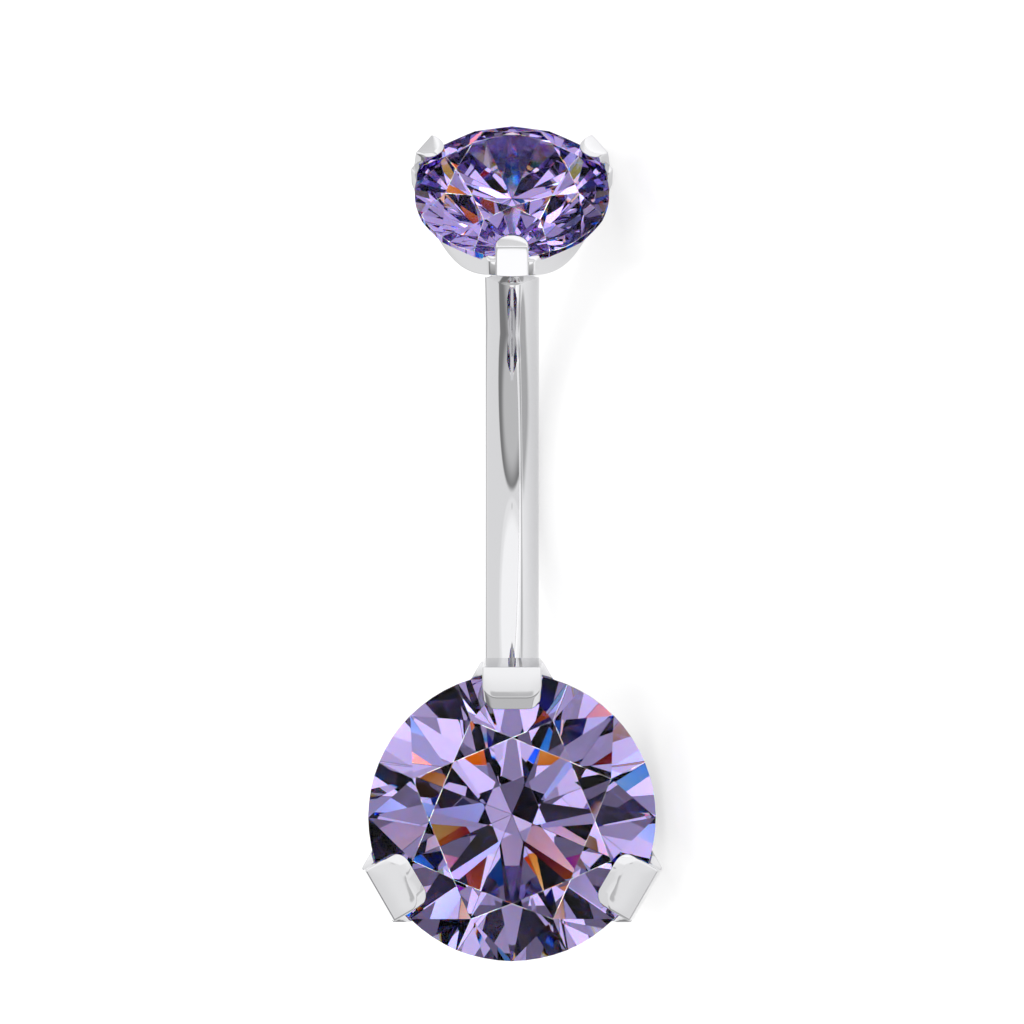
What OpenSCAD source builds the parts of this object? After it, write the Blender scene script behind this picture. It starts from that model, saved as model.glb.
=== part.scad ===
// Curved navel barbell with a large and a small round stone, each in a three-prong setting.
// Lengths are in millimetres. The barbell is drawn standing, with the large stone's centre at
// the origin and its table facing -Y, and is then turned to lie on the ground as it rests.

/* [Stones] */
// Diameter of the large stone, below the piercing
large_d = 8.2; // [7.4:0.1:9]
// Diameter of the small stone, above the piercing
small_d = 5.5; // [5:0.1:6]
// Height of a stone's girdle, the band round its widest place
girdle_h = 0.22; // [0.16:0.02:0.3]
// Slope of the main facets above the girdle, in degrees
crown_angle = 34; // [32:0.5:35]
// Slope of the main facets below the girdle, in degrees
pavilion_angle = 40.75; // [40:0.25:42]
// Corner to corner width of the table, as a share of the stone's diameter
table_share = 0.57; // [0.54:0.01:0.6]
// Where the star facets' tips lie, as a share of the stone's diameter
star_share = 0.74; // [0.72:0.01:0.77]
// Where the lower half facets' tips lie, as a share of the stone's diameter
half_share = 0.23; // [0.2:0.01:0.28]

/* [Settings] */
// Room between a stone and its setting
seat_gap = 0.03; // [0.02:0.01:0.05]
// How much steeper a seat is than the stone's main facets, in degrees
seat_ease = 0.75; // [0.6:0.05:1]
// Metal behind a stone's point
back_wall = 0.28; // [0.24:0.02:0.4]
// Diameter of the flat at the back of a setting
back_d = 1.66; // [1.6:0.02:1.8]
// Lean of a corner's outer face towards the stone's axis, in degrees
corner_lean = 7.5; // [5:0.5:9]
// Slope of a prong's tip end, in degrees
tip_slope = 25; // [20:1:30]

/* [Large setting] */
// How far a corner reaches beyond the large stone
large_reach = 0.42; // [0.36:0.02:0.6]
// Width of a corner's outer face
large_corner_w = 1.7; // [1.6:0.05:1.9]
// Width of a prong
large_prong_w = 1.68; // [1.3:0.02:1.7]
// Height of a prong above the middle of the girdle
large_prong_h = 0.94; // [0.9:0.02:1]
// How far a prong's tip covers the stone, from the girdle inwards
large_cover = 0.98; // [0.8:0.02:1.1]
// Length of a tip's sloping end
large_tip_l = 0.32; // [0.2:0.02:0.36]
// Radius of a prong's rounded tip corners
large_tip_r = 0.4; // [0.2:0.05:0.6]
// How far a prong stands proud of its corner
large_step = 0.02; // [0.01:0.01:0.1]
// Depth of a corner's outer face below the middle of the girdle
large_skirt = 0.6; // [0.5:0.05:0.8]

/* [Small setting] */
// How far a corner reaches beyond the small stone
small_reach = 0.28; // [0.24:0.02:0.4]
// Width of a corner's outer face
small_corner_w = 1.32; // [1.1:0.02:1.5]
// Width of a prong
small_prong_w = 0.92; // [0.9:0.02:1]
// Height of a prong above the middle of the girdle
small_prong_h = 0.6; // [0.56:0.02:0.7]
// How far a prong's tip covers the stone, from the girdle inwards
small_cover = 0.45; // [0.4:0.02:0.6]
// Length of a tip's sloping end
small_tip_l = 0.12; // [0.08:0.02:0.2]
// Radius of a prong's rounded tip corners
small_tip_r = 0.45; // [0.2:0.05:0.45]
// How far a prong stands proud of its corner
small_step = 0.08; // [0.04:0.01:0.12]
// Depth of a corner's outer face below the middle of the girdle
small_skirt = 0.4; // [0.3:0.05:0.6]

/* [Bar] */
// Diameter of the bar, 14 gauge
bar_d = 1.6; // [1.5:0.05:1.7]
// Radius of the bend, to the bar's centre line
bend_r = 8.05; // [7.5:0.05:9]
// Lean of the small stone's axis, from straight up towards the front, in degrees
top_lean = 46.5; // [42:0.5:50]
// Length of the straight end that is bored for the post
straight_l = 2; // [1.8:0.1:3]
// Where the bar meets the cone's slope, as a share of the slope from its back to its corner
joint_share = 0.48; // [0.44:0.01:0.55]
// Depth that the bar runs into the setting
joint_depth = 0.3; // [0.2:0.05:0.4]
// How far the solder round the joint reaches beyond the bar
solder_w = 0.2; // [0.1:0.01:0.3]

/* [Threaded post] */
// Diameter over the thread's crests
post_d = 1; // [0.96:0.02:1.04]
// Length of the post beyond the setting
post_l = 1.7; // [1.5:0.05:1.8]
// Rise of the thread in one turn
pitch = 0.25; // [0.22:0.01:0.3]
// Depth of the thread
thread_h = 0.11; // [0.08:0.01:0.12]
// Length of the plain neck and of the plain end of the post
neck_l = 0.1; // [0.06:0.02:0.16]
// Clearance all round between the crests and the bore
post_gap = 0.03; // [0.02:0.01:0.05]
// Clearance between the post's end and the bottom of the bore
end_gap = 0.2; // [0.1:0.05:0.3]
// Width of the cone cut round the mouth of the bore
mouth_bevel = 0.14; // [0.08:0.02:0.16]
// Running gap between the end of the bar and the setting on it
face_gap = 0.02; // [0.01:0.01:0.05]

/* [Hidden] */
$fn = 96;

// Half the angle between two main facets
step = 360 / 16;
// Straight edges of the girdle along one half facet
girdle_n = 4;
// Segments of the thread in one turn
thread_n = 16;
// How deep the thread's root and the solder lie inside the round that carries them
bury = 0.03;

// Depth of a stone's point below the middle of the girdle
function point_depth(d) = girdle_h / 2 + d / 2 * tan(pavilion_angle);
// Depth of a setting's back
function back_depth(d) = point_depth(d) + back_wall;

// Slope of the large setting's cone, and the point where the bar meets it, as [y, z]
cone_run = large_d / 2 + large_reach - back_d / 2;
cone_rise = back_depth(large_d) - large_skirt;
cone_angle = atan2(cone_rise, cone_run);
joint = [back_depth(large_d) - joint_share * cone_rise, back_d / 2 + joint_share * cone_run];
// Centre of the bend, and the end of the bar, as [y, z]
bend_centre = joint - bend_r * [sin(cone_angle), -cos(cone_angle)];
top_axis = [-sin(top_lean), cos(top_lean)];
bar_end = bend_centre + bend_r * [cos(top_lean), sin(top_lean)] + straight_l * top_axis;
small_centre = bar_end + (face_gap + back_depth(small_d)) * top_axis;

// How the ring rests: on a corner of the large setting, on a corner of the small one and on
// the side of the bar between them, at [x, y, z] of the standing ring
large_rest = rest_corner(large_d, large_reach, large_prong_w, large_skirt, -30, 1, 90);
small_rest = [0, small_centre[0], small_centre[1]]
    + rest_corner(small_d, small_reach, small_prong_w, small_skirt, 30, -1, top_lean);
bend_at = [0, bend_centre[0], bend_centre[1]];
// The directions square to the line between the two corners, by their angle from the side
rest_line = unit(small_rest - large_rest);
rest_side = unit([1, 0, 0] - rest_line[0] * rest_line);
rest_back = cross(rest_line, rest_side);
function rest_down(angle) = cos(angle) * rest_side + sin(angle) * rest_back;
// How far the bar's side lies past the plane through the two corners, in a direction
function bar_past(down) = bar_reach(down) - down * large_rest;
// The direction down at which the bar's side touches too, halving the step n times
function settle(from, to, n) =
    let (mid = (from + to) / 2)
    n == 0 ? rest_down(mid)
    : bar_past(rest_down(mid)) > 0 ? settle(from, mid, n - 1) : settle(mid, to, n - 1);
rest_z = -settle(0, 90, 40);
rest_y = unit([0, 1, 0] - rest_z[1] * rest_z);
rest_x = cross(rest_y, rest_z);
// The middle of the resting ring's outline, and its lowest height
small_prong_top = [0, small_centre[0], small_centre[1]]
    + standing(around(prong_top_r(small_d, small_reach, small_skirt, small_prong_h), -90,
                      small_prong_h) + [small_prong_w / 2, 0, 0], top_lean);
rest_middle =
    [girdle_reach(small_centre, top_lean, small_d, rest_x) - girdle_reach([0, 0], 90, large_d, -rest_x),
     bar_reach(rest_y) + small_prong_top * rest_y] / 2;
rest_bottom = large_rest * rest_z;

function unit(v) = v / norm(v);
// Turns a point about +Z of a stone into the standing ring, for a stone that leans by angle
function standing(p, angle) =
    [p[0], p[1] * cos(angle) - p[2] * sin(angle), p[1] * sin(angle) + p[2] * cos(angle)];
// Slope of a setting's cone, as height over radius
function cone_slope(d, reach, skirt) = (back_depth(d) - skirt) / (d / 2 + reach - back_d / 2);
// Where one side of the prong at azimuth turn meets the cone
function rest_corner(d, reach, prong_w, skirt, turn, side, angle) =
    let (x = d / 2 + reach,
         height = (norm([x, prong_w / 2]) - back_d / 2) * cone_slope(d, reach, skirt)
             - back_depth(d))
    standing(around(x, turn, height) + around(side * prong_w / 2, turn + 90, 0), angle);
// Distance of a prong's outer face from the stone's axis, at the prong's top
function prong_top_r(d, reach, skirt, prong_h) =
    d / 2 + reach - (prong_h + skirt) * tan(corner_lean);
// How far the bar and a stone's girdle reach in a direction
function bar_reach(u) = u * bend_at + bend_r * norm([u[1], u[2]]) + bar_d / 2;
function girdle_reach(centre, angle, d, u) =
    let (along = u * standing([0, 0, 1], angle))
    u * [0, centre[0], centre[1]] + d / 2 * sqrt(1 - along * along) + girdle_h / 2 * abs(along);

// A point at a radius, an azimuth and a height
function around(r, azimuth, z) = [r * cos(azimuth), r * sin(azimuth), z];
// Height of a stone's table above the middle of the girdle
function table_height(d) = girdle_h / 2 + d / 2 * (1 - table_share) * tan(crown_angle);
// Height, over a radius and an azimuth, of the plane through three points
function plane_z(a, b, c, r, azimuth) =
    let (n = cross(b - a, c - a), at = around(r, azimuth, 0) - a)
    a[2] - (n[0] * at[0] + n[1] * at[1]) / n[2];
// A girdle's edge, of radius r at height z, as the half facets with their tips at tip_r and
// tip_z cut it, with girdle_n points to each
function girdle_edge(r, z, tip_r, tip_z) =
    [for (half = [0:15], i = [0:girdle_n - 1])
        let (from = half * step, tip = around(tip_r, (half + 1 - half % 2) * step, tip_z),
             azimuth = from + i * step / girdle_n)
        around(r, azimuth, plane_z(tip, around(r, from, z), around(r, from + step, z), r, azimuth))];

// Keeps what lies under the first n of a list of planes, each as [slope, azimuth, point]: its
// normal leans by slope from +Z towards the azimuth, and it goes through the point
module kept_under(planes, n, size) {
    if (n == 0) children();
    else intersection() {
        kept_under(planes, n - 1, size) children();
        translate(planes[n - 1][2]) rotate([0, planes[n - 1][0], planes[n - 1][1]])
            translate([-size, -size, -2 * size]) cube(2 * size);
    }
}

// A round brilliant about +Z, with the middle of its girdle at the origin: a table, 8 stars,
// 8 mains and 16 halves above the girdle, and 16 halves and 8 mains below it
module brilliant(d) {
    r = d / 2;
    g = girdle_h / 2;
    star_z = g + (r - star_share * r * cos(step)) * tan(crown_angle);
    half_z = -g - (r - half_share * r * cos(step)) * tan(pavilion_angle);
    points = concat(
        [for (k = [0:7]) around(table_share * r, 2 * k * step, table_height(d))],
        [for (k = [0:7]) around(star_share * r, (2 * k + 1) * step, star_z)],
        [for (k = [0:7]) around(half_share * r, (2 * k + 1) * step, half_z)],
        [[0, 0, -point_depth(d)]],
        girdle_edge(r, g, star_share * r, star_z),
        girdle_edge(r, -g, half_share * r, half_z));
    n = 16 * girdle_n;
    function table(k) = k % 8;
    function star(k) = 8 + (k + 8) % 8;
    function half(k) = 16 + (k + 8) % 8;
    culet = 24;
    function upper(i) = 25 + i % n;
    function lower(i) = 25 + n + i % n;
    polyhedron(points, concat(
        [[for (k = [7:-1:0]) table(k)]],
        [for (k = [0:7]) [table(k + 1), star(k), table(k)]],
        [for (k = [0:7]) [star(k), upper(2 * k * girdle_n), star(k - 1), table(k)]],
        [for (k = [0:7], j = [0, 1])
            [star(k), for (i = [girdle_n:-1:0]) upper((2 * k + j) * girdle_n + i)]],
        [for (i = [0:n - 1]) [upper(i), upper(i + 1), lower(i + 1), lower(i)]],
        [for (k = [0:7], j = [0, 1])
            [half(k), for (i = [0:girdle_n]) lower((2 * k + j) * girdle_n + i)]],
        [for (k = [0:7]) [culet, half(k - 1), lower(2 * k * girdle_n), half(k)]]));
}

// The space that a stone needs in its setting, open towards the table
module seat(d) {
    r = d / 2 + seat_gap;
    g = girdle_h / 2;
    depth = r * tan(pavilion_angle + seat_ease);
    top = table_height(d) + seat_gap;
    kept_under([for (k = [0:7])
                   [crown_angle, 2 * k * step, around(r, 2 * k * step, g + seat_gap)]], 8, 2 * d)
        rotate_extrude() polygon([[0, -g - depth], [r, -g], [r, top], [0, top]]);
}

// A three-prong setting about +Z for a stone of diameter d, with one prong at azimuth first:
// a cone with three flat sides, whose corners rise past the girdle and turn in over the stone
module setting(d, reach, corner_w, prong_w, prong_h, cover, tip_l, tip_r, proud, skirt, first) {
    c = d / 2 + reach;
    corner_r = norm([c, corner_w / 2]) + reach;
    back = back_depth(d);
    intersection() {
        // The cone, with its corners' outer faces
        kept_under([for (k = [0:2])
                       [90 - corner_lean, first + 120 * k, around(c, first + 120 * k, -skirt)]],
                   3, 2 * d)
            rotate_extrude()
                polygon([[0, -back], [back_d / 2, -back],
                         [corner_r, -skirt + (corner_r - c) * cone_slope(d, reach, skirt)],
                         [corner_r, prong_h], [0, prong_h]]);
        union() {
            translate([0, 0, -back]) linear_extrude(back + girdle_h / 2)
                polygon([for (k = [0:2], side = [-1, 1])
                    let (at = first + 120 * k, x = c - proud, y = side * corner_w / 2)
                    [x * cos(at) - y * sin(at), x * sin(at) + y * cos(at)]]);
            for (k = [0:2]) rotate([0, 0, first + 120 * k])
                prong(d / 2 - cover, corner_r, prong_w, prong_h, tip_l, tip_r, back);
        }
    }
}

// A prong along +X from its tip at radius from to a radius past its outer face
module prong(from, to, width, height, tip_l, tip_r, back) {
    intersection() {
        rotate([90, 0, 0]) translate([0, 0, -width / 2]) linear_extrude(width)
            polygon([[from, -back], [to, -back], [to, height], [from + tip_l, height],
                     [from, height - tip_l * tan(tip_slope)]]);
        translate([0, 0, -back]) linear_extrude(back + height) {
            translate([from + tip_r, -width / 2]) square([to - from - tip_r, width]);
            translate([from, tip_r - width / 2]) square([to - from, width - 2 * tip_r]);
            for (side = [-1, 1])
                translate([from + tip_r, side * (width / 2 - tip_r)]) circle(tip_r);
        }
    }
}

// The bar from inside the large setting to its bored end, standing in the YZ plane
module bar() {
    bend = top_lean + 90 - cone_angle + joint_depth / bend_r * 180 / PI;
    translate([0, bend_centre[0], bend_centre[1]]) rotate([90, 0, 90]) {
        rotate([0, 0, top_lean]) {
            rotate_extrude(angle = -bend) translate([bend_r, 0]) circle(bar_d / 2);
            translate([bend_r, 0, 0]) rotate([-90, 0, 0]) cylinder(d = bar_d, h = straight_l);
        }
        rotate([0, 0, cone_angle - 90]) translate([bend_r, 0, 0]) rotate([-90, 0, 0]) solder();
    }
}

// The sloping ring of solder round the bar, where it meets the cone
module solder() {
    translate([0, 0, -joint_depth])
        cylinder(r1 = bar_d / 2 + solder_w + joint_depth, r2 = bar_d / 2 - bury,
                 h = joint_depth + solder_w + bury);
}

// The thread as one strip wound round the post from z = 0 upwards, fading in and out
module thread(turns) {
    n = round(turns * thread_n);
    root = post_d / 2 - thread_h - bury;
    width = 0.45 * pitch;
    points = [for (i = [0:n])
        let (at = i * 360 / thread_n, z = i * pitch / thread_n,
             fade = min(1, (i + 1) / thread_n * 2, (n - i + 1) / thread_n * 2),
             crest = root + (thread_h + bury) * fade)
        each [around(root, at, z - width), around(crest, at, z), around(root, at, z + width)]];
    sides = [for (i = [0:n - 1], j = [0:2])
        let (a = 3 * i + j, b = 3 * i + (j + 1) % 3)
        each [[a, b, a + 3], [b, b + 3, a + 3]]];
    polyhedron(points, concat([[0, 2, 1]], sides, [[3 * n, 3 * n + 1, 3 * n + 2]]));
}

// The post below a setting, from z = 0 downwards
module post() {
    length = face_gap + post_l;
    wound = length - 2 * neck_l - pitch;
    translate([0, 0, -length]) {
        cylinder(d = post_d - 2 * thread_h, h = length + back_wall / 4);
        translate([0, 0, neck_l + pitch / 2]) thread(wound / pitch);
    }
}

module bar_with_setting() color("#c9c9cc") difference() {
    union() {
        bar();
        rotate([90, 0, 0])
            setting(large_d, large_reach, large_corner_w, large_prong_w, large_prong_h,
                    large_cover, large_tip_l, large_tip_r, large_step, large_skirt, 90);
    }
    rotate([90, 0, 0]) seat(large_d);
    bore();
}

// The bore for the post, with its countersunk mouth
module bore() {
    d = post_d + 2 * post_gap;
    depth = post_l + end_gap;
    translate([0, bar_end[0], bar_end[1]]) rotate([top_lean, 0, 0]) {
        translate([0, 0, -depth]) cylinder(d = d, h = depth + 1);
        translate([0, 0, -mouth_bevel])
            cylinder(d1 = d, d2 = d + 4 * mouth_bevel, h = 2 * mouth_bevel);
    }
}

// Puts what is drawn about +Z on the small stone's axis
module on_top() translate([0, small_centre[0], small_centre[1]]) rotate([top_lean, 0, 0]) children();

module large_stone() color("#9a86cf") rotate([90, 0, 0]) brilliant(large_d);

module small_setting() color("#c9c9cc") on_top() {
    difference() {
        setting(small_d, small_reach, small_corner_w, small_prong_w, small_prong_h,
                small_cover, small_tip_l, small_tip_r, small_step, small_skirt, -90);
        seat(small_d);
    }
    translate([0, 0, -back_depth(small_d)]) post();
}

module small_stone() color("#857ab8") on_top() brilliant(small_d);

// Lays the standing ring down as it rests, with its lowest points at z = 0
module at_rest() {
    translate([-rest_middle[0], -rest_middle[1], -rest_bottom])
        multmatrix([[rest_x[0], rest_x[1], rest_x[2], 0],
                    [rest_y[0], rest_y[1], rest_y[2], 0],
                    [rest_z[0], rest_z[1], rest_z[2], 0],
                    [0, 0, 0, 1]]) children();
}

at_rest() bar_with_setting();
at_rest() large_stone();
at_rest() small_setting();
at_rest() small_stone();
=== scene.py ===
import bmesh
import bpy
import numpy as np
from mathutils import Matrix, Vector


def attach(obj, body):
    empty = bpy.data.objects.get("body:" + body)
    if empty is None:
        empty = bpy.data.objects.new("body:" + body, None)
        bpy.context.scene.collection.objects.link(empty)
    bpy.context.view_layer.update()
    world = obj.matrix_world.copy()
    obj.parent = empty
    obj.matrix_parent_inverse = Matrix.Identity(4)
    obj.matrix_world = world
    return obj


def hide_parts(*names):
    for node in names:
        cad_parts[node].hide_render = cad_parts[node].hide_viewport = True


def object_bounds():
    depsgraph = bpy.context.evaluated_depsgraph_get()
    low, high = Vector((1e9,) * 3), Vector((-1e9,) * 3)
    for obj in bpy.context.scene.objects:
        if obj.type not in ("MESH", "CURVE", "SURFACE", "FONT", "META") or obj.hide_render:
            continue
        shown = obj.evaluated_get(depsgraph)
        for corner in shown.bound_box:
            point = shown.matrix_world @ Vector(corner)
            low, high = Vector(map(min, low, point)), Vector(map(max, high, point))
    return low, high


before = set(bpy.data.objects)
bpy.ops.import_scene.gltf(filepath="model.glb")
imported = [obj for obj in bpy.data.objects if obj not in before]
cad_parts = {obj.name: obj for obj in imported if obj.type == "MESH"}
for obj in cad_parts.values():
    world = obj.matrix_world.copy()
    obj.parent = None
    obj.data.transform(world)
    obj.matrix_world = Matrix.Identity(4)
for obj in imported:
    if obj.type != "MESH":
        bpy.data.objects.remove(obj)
cad_low, cad_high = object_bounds()

# Stones: round brilliants of violet cubic zirconia, sawn, faceted and polished by machine. The
# packed stones have every facet, so their meshes stay. Where they sit and which way their tables
# face gives the standing directions of the ring, which lies on its side.
MM = 0.001
SAME = 0.9999       # a share this near to 1 counts as equal


def unit(v):
    return v / np.linalg.norm(v)


def measure_stone(node):
    """The way a stone's table faces, the middle of its girdle and its radius, in metres. The
    table is the largest flat area, the point lies furthest the other way, and the girdle's
    corners lie furthest from the line between them."""
    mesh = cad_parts[node].data
    corners = np.empty(3 * len(mesh.vertices))
    normals = np.empty(3 * len(mesh.polygons))
    areas = np.empty(len(mesh.polygons))
    mesh.vertices.foreach_get("co", corners)
    mesh.polygons.foreach_get("normal", normals)
    mesh.polygons.foreach_get("area", areas)
    corners, normals = corners.reshape(-1, 3), normals.reshape(-1, 3)
    axis = unit(normals[np.argmax((normals @ normals.T > SAME) @ areas)])
    height = corners @ axis
    point = corners[np.argmin(height)]
    out = np.linalg.norm(corners - point - np.outer(height - height.min(), axis), axis=1)
    girdle = height[out > SAME * out.max()]
    centre = point + axis * ((girdle.max() + girdle.min()) / 2 - height.min())
    return axis, centre, out.max()


front, large_centre, large_r = measure_stone("large_stone")
top, small_centre, small_r = measure_stone("small_stone")
side = unit(np.cross(top, front))
up = np.cross(front, side)


def linear(colour):
    """A hex colour in sRGB, turned to linear red, green, blue and an alpha of 1."""
    srgb = np.array([int(colour[i:i + 2], 16) for i in (1, 3, 5)]) / 255
    return (*np.where(srgb > 0.04045, ((srgb + 0.055) / 1.055) ** 2.4, srgb / 12.92), 1)


def add(tree, kind, sockets=None, **settings):
    """Adds a node with its settings. A socket's value is a number or colour, or a link."""
    made = tree.nodes.new(kind)
    for name, value in settings.items():
        setattr(made, name, value)
    for name, value in (sockets or {}).items():
        if isinstance(value, bpy.types.NodeSocket):
            tree.links.new(value, made.inputs[name])
        else:
            made.inputs[name].default_value = value
    return made


def new_material(name):
    material = bpy.data.materials.new(name)
    material.use_nodes = True
    material.node_tree.nodes.clear()
    return material, material.node_tree


# Cubic zirconia bends blue light more than red, by more than diamond does, and that gives the
# stones their fire. Each ray here has its share of the light's red, green and blue, and an index
# that lies at its place between the lowest and the highest, which stand wider apart than the real
# ones, so that the fire shows as in the photo.
ZIRCONIA_IOR = 2.16
ZIRCONIA_SPREAD = 0.055
ZIRCONIA_RAYS = ((-1, (0.55, 0, 0)), (-0.5, (0.4, 0.25, 0)), (0, (0.05, 0.5, 0.1)),
                 (0.5, (0, 0.25, 0.4)), (1, (0, 0, 0.5)))
OUTSIDE_SHEEN = 0.01    # share of the white room that the crowns mirror, as weak as in the photo


def clear(tree, ior, tint=(1, 1, 1)):
    """A clear polished surface that bends the light that passes through it."""
    return add(tree, "ShaderNodeBsdfRefraction",
               {"Color": (*tint, 1), "Roughness": 0.0, "IOR": ior}).outputs[0]


def cut_zirconia(name, colour, density):
    """Violet cubic zirconia, polished: light goes in clear, is mirrored inside by Fresnel and in
    full at low angles, which gives bright and black facets, and comes out split in five rays.
    The violet deepens with the way through the stone. Outside, the facets mirror far less of the
    room than the real ones would, as the photo's black facets show."""
    material, tree = new_material(name)
    coming_out = add(tree, "ShaderNodeNewGeometry").outputs["Backfacing"]
    inside = add(tree, "ShaderNodeFresnel", {"IOR": ZIRCONIA_IOR}).outputs[0]
    mirrored = add(tree, "ShaderNodeMix", {0: coming_out, 2: OUTSIDE_SHEEN, 3: inside}).outputs[0]
    mirror = add(tree, "ShaderNodeBsdfAnisotropic", {"Color": (1, 1, 1, 1), "Roughness": 0.0})
    rays = [clear(tree, ZIRCONIA_IOR + place * ZIRCONIA_SPREAD, tint)
            for place, tint in ZIRCONIA_RAYS]
    split = rays[0]
    for ray in rays[1:]:
        split = add(tree, "ShaderNodeAddShader", {0: split, 1: ray}).outputs[0]
    through = add(tree, "ShaderNodeMixShader",
                  {0: coming_out, 1: clear(tree, ZIRCONIA_IOR), 2: split}).outputs[0]
    surface = add(tree, "ShaderNodeMixShader", {0: mirrored, 1: through, 2: mirror.outputs[0]})
    violet = add(tree, "ShaderNodeVolumeAbsorption", {"Color": linear(colour), "Density": density})
    add(tree, "ShaderNodeOutputMaterial",
        {"Surface": surface.outputs[0], "Volume": violet.outputs[0]})
    return material


SCATTERED = 0.25        # share of the light that a rounded edge scatters


def rounded_zirconia():
    """The hair-thin edges between the facets, rounded by polishing: they scatter a part of the
    light, so the crown's edges show as fine light lines."""
    material, tree = new_material("zirconia_facet_edges")
    gloss = add(tree, "ShaderNodeBsdfAnisotropic",
                {"Color": linear("#F2ECFF"), "Roughness": 0.35}).outputs[0]
    surface = add(tree, "ShaderNodeMixShader",
                  {0: SCATTERED, 1: clear(tree, ZIRCONIA_IOR), 2: gloss})
    add(tree, "ShaderNodeOutputMaterial", {"Surface": surface.outputs[0]})
    return material


POLISHED_EDGE = 0.006
SAME_CORNER = 0.002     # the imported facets' corners lie closer together than this
SMALLEST_FOLD = np.radians(9)       # the pavilion's nearly flat edges stay sharp
zirconia_edges = rounded_zirconia()
for node, colour, density in (("large_stone", "#AD97D4", 190), ("small_stone", "#A987DC", 235)):
    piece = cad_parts[node]
    piece.data.materials.clear()
    piece.data.materials.append(cut_zirconia("violet_zirconia_" + node, colour, density))
    piece.data.materials.append(zirconia_edges)
    piece.modifiers.new("facets joined", "WELD").merge_threshold = SAME_CORNER * MM
    polish = piece.modifiers.new("edges rounded by polishing", "BEVEL")
    polish.width, polish.segments, polish.material = POLISHED_EDGE * MM, 1, 1
    polish.limit_method, polish.angle_limit = "ANGLE", SMALLEST_FOLD

# Large setting: titanium milled from the rod and mirror polished. A cone with three flat sides
# holds the stone, and its three corners rise past the girdle and turn in over the crown.
GIRDLE_H = 0.22     # the stones' girdle, and the slopes of their crown and pavilion
CROWN = np.radians(34)
PAVILION = np.radians(40.75)
SEAT_EASE = np.radians(0.75)        # how much steeper the seat is than the pavilion
SEAT_GAP = 0.03
BACK_WALL = 0.28    # metal behind the stone's point
BACK_R = 0.83       # radius of the cup's flat back
LEAN = np.tan(np.radians(7.5))      # how far the corners' faces lean in
TIP_SLOPE = np.tan(np.radians(25))
EDGE = 0.045        # radius of the polished edges
FINE_EDGE = 0.02    # radii of edges that the polishing wheel doesn't reach
SHARP_EDGE = 0.01
ARC = 5             # points on a rounded corner
SAME_POINT = 1e-7   # points this near to each other, in metres, are merged
CUT_CORNER = 0.07   # radius of the cup's corners, seen from the front
WALL_STEP = 0.12    # distance between two profiles round the cup
RIM_RISE = 0.08     # width over which the rim rises from the seat
FOOT_IN = 0.12      # how far the prong's foot starts inside the cup's wall
FOOT_OUT = 0.2      # how far it ends inside the corner, and how high over the cone
FOOT_OVER = 0.03
OFF_GIRDLE = 0.004  # how far the prong stays off the seat's radius
TIP_EDGE = 0.035    # least height of the tip's front face


def rounded(corners, radii):
    """Profiles, shape (..., corner, 2), with every corner but the first and the last turned into
    points on the quadratic curve between two places on its edges: they lie a radius from the
    corner, or 0.45 of the edge where that is shorter."""
    corner = corners[..., 1:-1, :]
    ends = []
    for edge in (corners[..., :-2, :] - corner, corners[..., 2:, :] - corner):
        length = np.maximum(np.linalg.norm(edge, axis=-1, keepdims=True), 1e-9)
        share = np.minimum(np.reshape(radii, (-1, 1)) / length, 0.45)
        ends.append((corner + edge * share)[..., None, :])
    t = np.linspace(0, 1, ARC)[:, None]
    arcs = (1 - t) ** 2 * ends[0] + 2 * t * (1 - t) * corner[..., None, :] + t ** 2 * ends[1]
    arcs = arcs.reshape(*arcs.shape[:-3], -1, 2)
    return np.concatenate([corners[..., :1, :], arcs, corners[..., -1:, :]], axis=-2)


def rounded_loop(corners, radii):
    """The same for closed outlines: every corner is rounded."""
    wrapped = np.concatenate([corners[..., -1:, :], corners, corners[..., :1, :]], axis=-2)
    return rounded(wrapped, radii)[..., 1:-1, :]


def mesh_piece(name, grid, origin, axes, closed=(True, False), caps=False):
    """A closed mesh from a grid of points in mm, shape (rows, columns, 3), in the directions axes
    from origin. Squares join neighbours, and the first to the last where the grid closes; caps
    are flat faces on the first and the last row. Points that fall together are merged."""
    rows, columns = grid.shape[:2]
    i, j = np.meshgrid(np.arange(rows - (not closed[0])), np.arange(columns - (not closed[1])),
                       indexing="ij")
    near, far = j, (j + 1) % columns
    this, following = i * columns, (i + 1) % rows * columns
    squares = np.stack([this + near, this + far, following + far, following + near], axis=-1)
    faces = squares.reshape(-1, 4).tolist()
    if caps:
        faces += [list(range(columns)), list(range((rows - 1) * columns, rows * columns))]
    points = grid.reshape(-1, 3) @ np.array(axes) * MM + origin
    mesh = bpy.data.meshes.new(name)
    mesh.from_pydata(points.tolist(), [], faces)
    work = bmesh.new()
    work.from_mesh(mesh)
    bmesh.ops.remove_doubles(work, verts=work.verts, dist=SAME_POINT)
    bmesh.ops.dissolve_degenerate(work, edges=work.edges, dist=SAME_POINT)
    bmesh.ops.recalc_face_normals(work, faces=work.faces)
    work.to_mesh(mesh)
    work.free()
    piece = bpy.data.objects.new(name, mesh)
    bpy.context.scene.collection.objects.link(piece)
    return piece


def prong_direction(first):
    """Azimuths of the three prongs and the directions in which they stand, as (3, 2)."""
    azimuth = np.radians(first + 120 * np.arange(3))
    return azimuth, np.stack([np.cos(azimuth), np.sin(azimuth)], axis=1)


def back_depth(r):
    return GIRDLE_H / 2 + r * np.tan(PAVILION) + BACK_WALL


def cone_slope(r, size):
    return (back_depth(r) - size["skirt"]) / (r + size["reach"] - BACK_R)


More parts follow.
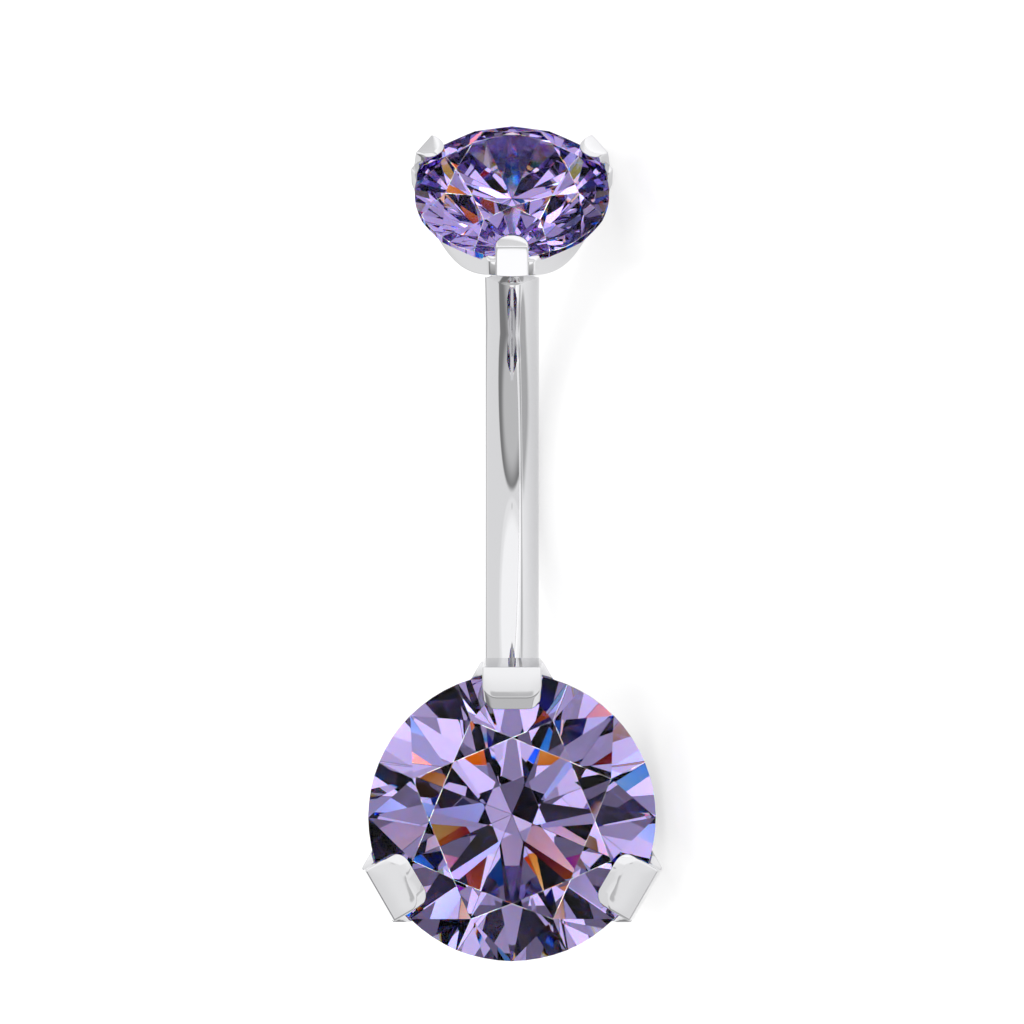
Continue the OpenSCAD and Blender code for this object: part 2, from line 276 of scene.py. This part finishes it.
def cup(name, r, size, origin, axes):
    """The cone under a stone. Its outline is a triangle with cut and rounded corners. At each
    point of the outline a profile runs from the middle of the back along the back, the cone and
    the wall to the rim and down the seat to its middle. Heights on the cone and in the seat grow
    in proportion to the distance from the axis, and the corners' faces lean in with height."""
    _, out = prong_direction(size["first"])
    c, g, back, seat_r = r + size["reach"], GIRDLE_H / 2, back_depth(r), r + SEAT_GAP
    across = out[:, ::-1] * [-1, 1]
    corners = np.concatenate([(c - size["proud"]) * out + s * size["corner_w"] / 2 * across
                              for s in (-1, 1)], axis=1).reshape(-1, 2)
    loop = rounded_loop(corners, CUT_CORNER)
    loop = np.concatenate([loop, loop[:1]])
    run = np.concatenate([[0], np.cumsum(np.linalg.norm(np.diff(loop, axis=0), axis=1))])
    places = np.unique(np.concatenate([run, np.arange(0, run[-1], WALL_STEP)]))[:-1]
    outline = np.stack([np.interp(places, run, loop[:, i]) for i in (0, 1)], axis=1)
    radius = np.linalg.norm(outline, axis=1)
    # How far a point may stay out at the rim, where the corner's face has leant in
    lean_in = (c - (g + size["skirt"]) * LEAN) / np.maximum((outline @ out.T).max(axis=1), 1e-9)
    rim_r = radius * np.minimum(1, lean_in)
    rise = np.clip((rim_r - seat_r) / RIM_RISE, 0, 1)
    seat_rise = np.tan(PAVILION + SEAT_EASE)
    inner_r = np.minimum(rim_r, seat_r)
    seat_z = -g - (seat_r - inner_r) * seat_rise
    rim_z = seat_z + 2 * g * rise * rise * (3 - 2 * rise)
    zero = np.zeros_like(radius)
    profile = np.stack([
        np.stack([zero, zero - back], axis=1),
        np.stack([zero + BACK_R, zero - back], axis=1),
        np.stack([radius, (radius - BACK_R) * cone_slope(r, size) - back], axis=1),
        np.stack([rim_r, rim_z], axis=1),
        np.stack([inner_r, rim_z], axis=1),
        np.stack([inner_r, seat_z], axis=1),
        np.stack([zero, zero - g - seat_r * seat_rise], axis=1)], axis=1)
    profile = rounded(profile, [EDGE, EDGE, EDGE / 2, EDGE / 2, FINE_EDGE])
    plan = outline / radius[:, None]
    grid = np.concatenate([profile[..., :1] * plan[:, None, :], profile[..., 1:]], axis=-1)
    return mesh_piece(name, grid, origin, axes)


def prong(name, r, size, number, origin, axes):
    """One prong. Its side profile is a hook: up the corner's leaning face, in over the crown to
    the sloping tip and back under it along the stone. The profile is carried across the prong's
    width. Towards the sides it draws in along a quarter circle, which rounds the long edges and
    the tip's corners."""
    azimuth, out = prong_direction(size["first"])
    c, g, seat_r = r + size["reach"], GIRDLE_H / 2, r + SEAT_GAP
    inner = seat_r + OFF_GIRDLE
    half = size["prong_w"] / 2
    turn = np.radians(np.linspace(0, 90, 9))
    y = half - size["tip_r"] * (1 - np.sin(turn))
    y = np.unique(np.round(np.concatenate([y, half - EDGE * (1 - np.sin(turn[::2])), [0]]), 6))
    y = np.concatenate([-y[:0:-1], y])

    def drawn_in(radius):
        past = np.clip(np.abs(y) - (half - radius), 0, radius)
        return radius - np.sqrt(radius ** 2 - past ** 2)

    edge = drawn_in(EDGE)
    tip = r - size["cover"] + drawn_in(size["tip_r"])
    height = size["prong_h"] - edge
    foot = c - edge

    def cone(x):
        """Height of the cup's cone at the profile's places across the width."""
        return (np.hypot(x, y) - BACK_R) * cone_slope(r, size) - back_depth(r)

    def crown(x):
        """Height of the stone's crown and the gap above it: the lowest of its eight slopes."""
        mains = np.radians(45) * np.arange(8) - azimuth[number]
        reach = np.max([x * np.cos(a) + y * np.sin(a) for a in mains], axis=0)
        return g + SEAT_GAP + (seat_r - reach) * np.tan(CROWN)

    def corner(x, z):
        return np.stack([x + 0 * y, z + 0 * y], axis=1)

    profile = np.stack([
        corner(seat_r + FOOT_IN, -size["skirt"]),
        corner(inner, 0.3 * g),
        corner(inner, crown(inner)),
        corner(tip, crown(tip)),
        corner(tip, np.maximum(crown(tip) + TIP_EDGE, height - size["tip_l"] * TIP_SLOPE)),
        corner(tip + size["tip_l"], height),
        corner(foot - (height + size["skirt"]) * LEAN, height),
        corner(foot, cone(foot)),
        corner(c - FOOT_OUT, cone(c - FOOT_OUT) + FOOT_OVER)], axis=1)
    profile = rounded_loop(profile, [SHARP_EDGE] * 4 + [FINE_EDGE, EDGE, EDGE, FINE_EDGE,
                                                        SHARP_EDGE])
    n, t = np.append(out[number], 0), np.array([-out[number, 1], out[number, 0], 0])
    grid = (profile[..., :1] * n + y[:, None, None] * t
            + profile[..., 1:] * np.array([0, 0, 1]))
    return mesh_piece(name, grid, origin, axes, closed=(False, True), caps=True)


BUFFED_PATCH = 0.9


def polished_titanium():
    """Mirror polished titanium: a bright neutral metal, which mirrors the whole room. The buffing
    wheel leaves it a little uneven, in patches of about a millimetre, so the mirror is slightly
    softer in some places than in others."""
    material, tree = new_material("polished_titanium")
    place = add(tree, "ShaderNodeTexCoord").outputs["Object"]
    buffing = add(tree, "ShaderNodeTexNoise",
                  {"Vector": place, "Scale": 1 / (BUFFED_PATCH * MM), "Detail": 3.0})
    rough = add(tree, "ShaderNodeMapRange",
                {"Value": buffing.outputs["Fac"], "From Min": 0.35, "From Max": 0.65,
                 "To Min": 0.025, "To Max": 0.06})
    surface = add(tree, "ShaderNodeBsdfPrincipled",
                  {"Base Color": linear("#D2D2D4"), "Metallic": 1.0,
                   "Roughness": rough.outputs["Result"]})
    add(tree, "ShaderNodeOutputMaterial", {"Surface": surface.outputs[0]})
    return material


titanium = polished_titanium()


def fuse(name, pieces):
    """Joins closed pieces into one closed mesh, as one piece of titanium."""
    base = pieces[0]
    for other in pieces[1:]:
        union = base.modifiers.new("fuse", "BOOLEAN")
        union.operation, union.solver, union.object = "UNION", "MANIFOLD", other
        bpy.context.view_layer.update()
        joined = bpy.data.meshes.new_from_object(
            base.evaluated_get(bpy.context.evaluated_depsgraph_get()))
        base.modifiers.clear()
        base.data = joined
        bpy.data.objects.remove(other)
    base.name = base.data.name = name
    base.data.materials.clear()
    base.data.materials.append(titanium)
    base.data.shade_smooth()
    base.data.set_sharp_from_angle(angle=np.radians(35))
    weighted = base.modifiers.new("flat faces stay flat", "WEIGHTED_NORMAL")
    weighted.keep_sharp = True
    return base


# Of each setting, in mm: how far its corners reach past the stone, how wide they are cut, the
# prongs' width, height over the girdle's middle and cover over the stone, the length of their
# sloping tip and the radius of its corners, how far they stand proud of the cup, the depth of the
# cup's straight wall, and the azimuth of the first prong in degrees
LARGE = {"reach": 0.42, "corner_w": 1.7, "prong_w": 1.68, "prong_h": 0.94, "cover": 0.98,
         "tip_l": 0.32, "tip_r": 0.4, "proud": 0.02, "skirt": 0.6, "first": 90}
large_axes = (side, up, front)
large_mm = large_r / MM
large_metal = [cup("large_cup", large_mm, LARGE, large_centre, large_axes)]
large_metal += [prong("large_prong", large_mm, LARGE, k, large_centre, large_axes)
                for k in range(3)]

# Bar: 14 gauge titanium rod, bent and mirror polished, bored and countersunk at its upper end
# for the post, and soldered to the back of the large setting with a small fillet.
BAR_R = 0.8
BEND_R = 8.05
BEND_ROWS = 181
TOP_LEAN = np.arccos(up @ top)
STRAIGHT_L = 2.0        # the straight end round the bore
FACE_GAP = 0.02         # between the bar's end and the small setting
BORE_R = 0.53
BORE_L = 1.9
MOUTH_BEVEL = 0.14
SOLDER_R = 0.25
JOINT_DEPTH = 0.3       # how deep the bar and the solder run into the setting
FILLET_ROWS = 12
AROUND = 96             # points round the bar, the solder and the post

small_mm = small_r / MM
outward = unit(-front * np.cos(TOP_LEAN) + up * np.sin(TOP_LEAN))
mouth = small_centre - top * (back_depth(small_mm) + FACE_GAP) * MM
bend_centre = mouth - (STRAIGHT_L * top + BEND_R * outward) * MM
cone_angle = np.arctan(cone_slope(large_mm, LARGE))
bend = TOP_LEAN + np.pi / 2 - cone_angle


def round_piece(name, profile, centre, out, across):
    """A profile of (distance along, radius) carried round a line: a point lies at the line's
    centre for its distance, plus its radius times the circle's direction, which turns from out
    to across."""
    turn = np.linspace(0, 2 * np.pi, AROUND, endpoint=False)[:, None, None]
    circle = np.cos(turn) * out[None] + np.sin(turn) * across[None]
    grid = centre[None] + profile[None, :, 1:] * MM * circle
    return mesh_piece(name, grid / MM, np.zeros(3), np.eye(3))


def bar():
    """The bar's profile, from the bottom of the bore out over the countersink and the rim and
    along the outside. Past the straight end its line turns round the centre of the bend."""
    bend_l = BEND_R * bend + JOINT_DEPTH
    corners = np.array([[BORE_L, 0], [BORE_L, BORE_R], [MOUTH_BEVEL, BORE_R],
                        [0, BORE_R + MOUTH_BEVEL], [0, BAR_R], [STRAIGHT_L, BAR_R]])
    profile = rounded(corners, [SHARP_EDGE, FINE_EDGE, FINE_EDGE, EDGE])
    bent = STRAIGHT_L + np.linspace(0, bend_l, BEND_ROWS)[1:]
    profile = np.concatenate([profile, np.stack([bent, bent * 0 + BAR_R], axis=1),
                              [[bent[-1], 0]]])
    turned = np.maximum(profile[:, :1] - STRAIGHT_L, 0) / BEND_R
    out = np.cos(turned) * outward - np.sin(turned) * top
    centre = (bend_centre + BEND_R * MM * out
              + np.maximum(STRAIGHT_L - profile[:, :1], 0) * MM * top)
    return round_piece("bar", profile, centre, out, np.tile(side, (len(profile), 1)))


def solder():
    """The solder's fillet: a quarter circle, hollow outwards, from the cone to the bar."""
    turn = np.linspace(0, np.pi / 2, FILLET_ROWS)
    height = SOLDER_R * (1 - np.sin(turn))
    radius = BAR_R + SOLDER_R * (1 - np.cos(turn))
    profile = np.concatenate([[[-JOINT_DEPTH, 0], [-JOINT_DEPTH, radius[-1] + JOINT_DEPTH]],
                              np.stack([height, radius], axis=1)[::-1], [[SOLDER_R, 0]]])
    out = np.cos(bend) * outward - np.sin(bend) * top
    away = np.sin(bend) * outward + np.cos(bend) * top
    joint = bend_centre + BEND_R * MM * out
    centre = joint + profile[:, :1] * MM * away
    return round_piece("solder", profile, centre, np.tile(out, (len(profile), 1)),
                       np.tile(side, (len(profile), 1)))


barbell = fuse("bar_with_large_setting", [*large_metal, bar(), solder()])
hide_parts("bar_with_setting")
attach(barbell, "barbell")

# Small setting: the same three-prong cup for the small stone, milled from one piece of titanium
# with a threaded post, and mirror polished. The post screws into the bar, so the top comes off
# when the ring is put in.
SMALL = {"reach": 0.28, "corner_w": 1.32, "prong_w": 0.92, "prong_h": 0.6, "cover": 0.45,
         "tip_l": 0.12, "tip_r": 0.45, "proud": 0.08, "skirt": 0.4, "first": -90}
POST_R = 0.5
POST_L = 1.72
POST_ROOT = 0.05        # how far the post starts inside the cup's back
POST_ROWS = 170
PITCH = 0.25
THREAD_H = 0.11
CREST = 1.3             # the wave's height before it is cut flat at the crest and the root
ROOT = 0.12
THREAD_FROM = 0.08      # where the thread starts below the cup, and how fast it comes in
THREAD_IN = 0.1
THREAD_TO = 0.04        # where it ends above the post's end, and how fast it goes out
THREAD_OUT = 0.12
CHAMFER_L = 0.1
CHAMFER_SLOPE = 0.8


def post():
    """The post's radius follows the thread: a rounded triangle wave of the distance along, less
    the share of a turn, in pitches. It fades out at the neck and towards the chamfered end."""
    along = np.linspace(-POST_ROOT, POST_L, POST_ROWS)
    turn = np.linspace(0, 2 * np.pi, AROUND, endpoint=False)
    phase = (along[None] / PITCH + turn[:, None] / (2 * np.pi)) % 1
    wave = np.clip(CREST * (1 - np.abs(2 * phase - 1)) - ROOT, 0, 1)
    fade = np.clip(np.minimum((along - THREAD_FROM) / THREAD_IN,
                              (POST_L - THREAD_TO - along) / THREAD_OUT), 0, 1)
    radius = POST_R - THREAD_H * (1 - wave * fade)
    radius = radius - np.clip(along - POST_L + CHAMFER_L, 0, CHAMFER_L) * CHAMFER_SLOPE
    ring = (np.cos(turn)[:, None, None] * side + np.sin(turn)[:, None, None]
            * np.cross(top, side))
    start = small_centre / MM - top * back_depth(small_mm)
    grid = start - along[None, :, None] * top + radius[..., None] * ring
    ends = [np.tile(start - a * top, (AROUND, 1, 1)) for a in (along[0], along[-1])]
    return mesh_piece("post", np.concatenate([ends[0], grid, ends[1]], axis=1), np.zeros(3),
                      np.eye(3))


small_axes = (side, np.cross(top, side), top)
small_metal = [cup("small_cup", small_mm, SMALL, small_centre, small_axes)]
small_metal += [prong("small_prong", small_mm, SMALL, k, small_centre, small_axes)
                for k in range(3)]
top_piece = fuse("small_setting_with_post", [*small_metal, post()])
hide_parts("small_setting")
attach(top_piece, "threaded_top")

# Studio floor: a plain pale sheet, lit from below round the ring as a light table is, so that the
# ground of the picture is white. The lit patch is wider than the picture, and its glow fades out.
TABLE_MIDDLE = (10 * MM, 20 * MM, 0)
TABLE_FADES = 47 * MM
TABLE_ENDS = 65 * MM
TABLE_GLOW = 0.55
# Patches of painted reflection on the sheet, with their grey and their soft edge
PAINTED_REFLECTION_PATCHES = ((2.5, 0.0, 1.6), (-0.7, -1.6, 1.5))       # x, y and radius in mm
PAINTED_REFLECTION_GREY = 0.48
PAINTED_REFLECTION_EDGE = 0.35

bpy.ops.mesh.primitive_plane_add(size=4)
floor = bpy.context.object
floor.name = "floor"
material, tree = new_material("light_table_sheet")
place = add(tree, "ShaderNodeTexCoord").outputs["Object"]
away = add(tree, "ShaderNodeVectorMath", {0: place, 1: TABLE_MIDDLE},
           operation="DISTANCE").outputs["Value"]
glow = add(tree, "ShaderNodeMapRange",
           {"Value": away, "From Min": TABLE_FADES, "From Max": TABLE_ENDS,
            "To Min": TABLE_GLOW, "To Max": 0.0},
           interpolation_type="SMOOTHSTEP").outputs["Result"]
sheet = add(tree, "ShaderNodeBsdfPrincipled",
            {"Base Color": linear("#C8C8C8"), "Roughness": 0.2,
             "Emission Color": (1, 1, 1, 1), "Emission Strength": glow})

# Two small round patches beside the bar are painted dark grey on the sheet, for mirror rays
# only: a painted reflection, which the metal shows as the grey band down the bar's right. The
# camera doesn't see them.
painted_reflection_shade = 0.0
for x, y, radius in PAINTED_REFLECTION_PATCHES:
    away = add(tree, "ShaderNodeVectorMath", {0: place, 1: (x * MM, y * MM, 0)},
               operation="DISTANCE").outputs["Value"]
    painted_patch = add(tree, "ShaderNodeMapRange",
               {"Value": away, "From Min": (radius - PAINTED_REFLECTION_EDGE) * MM,
                "From Max": (radius + PAINTED_REFLECTION_EDGE) * MM, "To Min": PAINTED_REFLECTION_GREY, "To Max": 0.0},
               interpolation_type="SMOOTHSTEP").outputs["Result"]
    painted_reflection_shade = add(tree, "ShaderNodeMath", {0: painted_reflection_shade, 1: painted_patch}, operation="MAXIMUM").outputs[0]
# Painted reflection: the patches darken the sheet only where it is seen in a mirror.
in_mirror = add(tree, "ShaderNodeLightPath").outputs["Is Glossy Ray"]
painted_reflection_shade = add(tree, "ShaderNodeMath", {0: painted_reflection_shade, 1: in_mirror}, operation="MULTIPLY").outputs[0]
dark = add(tree, "ShaderNodeBsdfDiffuse", {"Color": (0, 0, 0, 1)}).outputs[0]
surface = add(tree, "ShaderNodeMixShader", {0: painted_reflection_shade, 1: sheet.outputs[0], 2: dark})
add(tree, "ShaderNodeOutputMaterial", {"Surface": surface.outputs[0]})
floor.data.materials.append(material)

# Studio room: soft light all round, from large cards with soft edges. The metal and the stones are
# lit apart, as when each is shot on its own: the metal mirrors a calm room, and the stones gather
# one with black cards and small lamps, which give the black facets and the fire.
world = bpy.data.worlds.new("studio")
bpy.context.scene.world = world
world.use_nodes = True
room = world.node_tree
room.nodes.clear()
looking = add(room, "ShaderNodeTexCoord").outputs["Generated"]


def towards(lean, turn, middle=front):
    """The direction that leans so many degrees from a middle one, turned round it by so many
    degrees from above towards the side that the ring lies on."""
    lean, turn = np.radians([lean, turn])
    away = side * np.sin(turn) + np.cross(middle, side) * np.cos(turn)
    return middle * np.cos(lean) + away * np.sin(lean)


def hung(light, cards):
    """The light all round with cards added to it. Each card is a round patch of the room: the
    direction of its middle, the degrees from there at which it starts and at which it is full,
    and its light, which is below zero for a card that takes light away."""
    for place, outer, inner, strength in cards:
        near = add(room, "ShaderNodeVectorMath", {0: looking, 1: tuple(unit(place))},
                   operation="DOT_PRODUCT").outputs["Value"]
        edge = add(room, "ShaderNodeMapRange",
                   {"Value": near, "From Min": np.cos(np.radians(outer)),
                    "From Max": np.cos(np.radians(inner)), "To Min": 0.0, "To Max": strength},
                   interpolation_type="SMOOTHSTEP").outputs["Result"]
        light = add(room, "ShaderNodeMath", {0: light, 1: edge}, operation="ADD").outputs[0]
    return light


CAMERA_AWAY = 110
CAMERA_UP = 8.7
lens = (front * CAMERA_AWAY - up * CAMERA_UP, 1.8, 1.4, -0.45)

# Mirrored by the metal: a ceiling above the camera, a grey wall below it that is darkest at its
# edge, a lamp on that wall, and a dim wall behind, which draws the metal's dark outlines
mirrored = hung(1.03, (
    (towards(45, 0), 50, 40, 0.22), (towards(45, 0), 55, 52, 0.12),
    (towards(63, 180), 53, 49, -0.75), (towards(55, 180), 44, 26, 0.45),
    (towards(75, 180), 10, 8, 0.8), (-front, 40, 30, -0.6), lens))

# Gathered by the stones: a bright upper half, three cards close round the camera, black cards on
# both sides, and small lamps. A lamp is its lean and turn, its width and its strength. Its edge
# is soft, from half a degree inside that width to two degrees outside it.
gathered = hung(0.38, (
    (up, 101, 99, 0.48), (up - front * 0.2, 50, 40, 0.2), (up, 14, 10, -0.6),
    (towards(30, 12), 16, 12, 1.0), (towards(9, 290), 9, 7, 1.5),
    (towards(9, 130), 8, 6, -0.8), lens))
BLACK_FROM = 0.17       # the black cards start this far to each side of the middle, as a sine
BLACK_FULL = 0.21
sideways = add(room, "ShaderNodeVectorMath", {0: looking, 1: tuple(side)},
               operation="DOT_PRODUCT").outputs["Value"]
sideways = add(room, "ShaderNodeMath", {0: sideways}, operation="ABSOLUTE").outputs[0]
beside = add(room, "ShaderNodeMapRange",
             {"Value": sideways, "From Min": BLACK_FROM, "From Max": BLACK_FULL,
              "To Min": 0.0, "To Max": 1.0},
             interpolation_type="SMOOTHSTEP").outputs["Result"]
black = hung(0.0, ((front, 60, 52, -1.4), (top, 33, 27, -1.1)))
black = add(room, "ShaderNodeMath", {0: beside, 1: black}, operation="MULTIPLY").outputs[0]
gathered = add(room, "ShaderNodeMath", {0: gathered, 1: black}, operation="ADD").outputs[0]
LAMPS_FRONT = ((22, 48, 6, 2.8), (20, -61, 5, 3.1), (27, 118, 6, 2.8), (25, -133, 6, 2.8),
               (24, 84, 4, 3.1), (23, -97, 4, 3.1), (41, 38, 7, 2.5), (39, -52, 6, 2.5),
               (40, 141, 7, 2.5), (42, -128, 6, 2.5))
LAMPS_TOP = ((25, 55, 6, 2.8), (27, -70, 5, 3.4), (26, 112, 5, 3.4), (24, -125, 6, 2.8),
             (42, 80, 6, 2.8), (40, -97, 6, 2.8))
for middle, lamps in ((front, LAMPS_FRONT), (top, LAMPS_TOP)):
    gathered = hung(gathered, [(towards(lean, turn, middle), wide + 2, wide - 0.5, strength)
                               for lean, turn, wide, strength in lamps])
gathered = add(room, "ShaderNodeMath", {0: gathered, 1: 0.0}, operation="MAXIMUM").outputs[0]

ray = add(room, "ShaderNodeLightPath").outputs
light = add(room, "ShaderNodeMix",
            {0: ray["Is Transmission Ray"], 2: mirrored, 3: gathered}).outputs[0]
light = add(room, "ShaderNodeMix", {0: ray["Is Camera Ray"], 2: light, 3: 1.0}).outputs[0]
air = add(room, "ShaderNodeBackground", {"Color": (1, 1, 1, 1), "Strength": light})
add(room, "ShaderNodeOutputWorld", {"Surface": air.outputs[0]})

# Overhead lamp: a soft box above and behind the ring, for its faint shadow on the floor. The metal
# doesn't mirror it, where its edge would show as a hard white patch.
OVERHEAD = np.array([0, 150, 260]) * MM
OVERHEAD_W, OVERHEAD_D = 120 * MM, 60 * MM


def aim_at(thing, place, look, upward):
    """Puts a camera or lamp at a place, looking one way, with its top towards upward."""
    right = unit(np.cross(look, upward))
    above = np.cross(right, look)
    rows = np.stack([right, above, -look, place], axis=1)
    thing.matrix_world = Matrix([*rows.tolist(), (0, 0, 0, 1)])


lamp = bpy.data.lights.new("overhead", "AREA")
lamp.shape = "RECTANGLE"
lamp.size, lamp.size_y = OVERHEAD_W, OVERHEAD_D
lamp.energy = 0.1
overhead = bpy.data.objects.new("overhead", lamp)
bpy.context.scene.collection.objects.link(overhead)
overhead.visible_glossy = False
to_ring = -unit(OVERHEAD - (cad_low + cad_high) * 0.5)
aim_at(overhead, OVERHEAD, to_ring, np.array([1.0, 0, 0]))

# Camera: the photo looks straight at the large stone's table from 110 mm, and the ring's length
# runs up the picture, so the camera lies on its side beside the resting ring.
FOCAL_PX = 3857.6
PICTURE_PX = 1024
camera = bpy.data.objects.new("camera", bpy.data.cameras.new("camera"))
bpy.context.scene.collection.objects.link(camera)
camera.data.sensor_width = 36
camera.data.lens = camera.data.sensor_width * FOCAL_PX / PICTURE_PX
camera.data.clip_start, camera.data.clip_end = 10 * MM, 10000 * MM
aim_at(camera, large_centre + (CAMERA_AWAY * front + CAMERA_UP * up) * MM, -front, up)
bpy.context.scene.camera = camera

# Picture: colours as they are, and enough bounces for light to come back out of the stones.
scene = bpy.context.scene
scene.view_settings.view_transform = "Standard"
scene.cycles.max_bounces = 32
scene.cycles.glossy_bounces = 24
scene.cycles.transmission_bounces = 24
scene.cycles.use_denoising = True
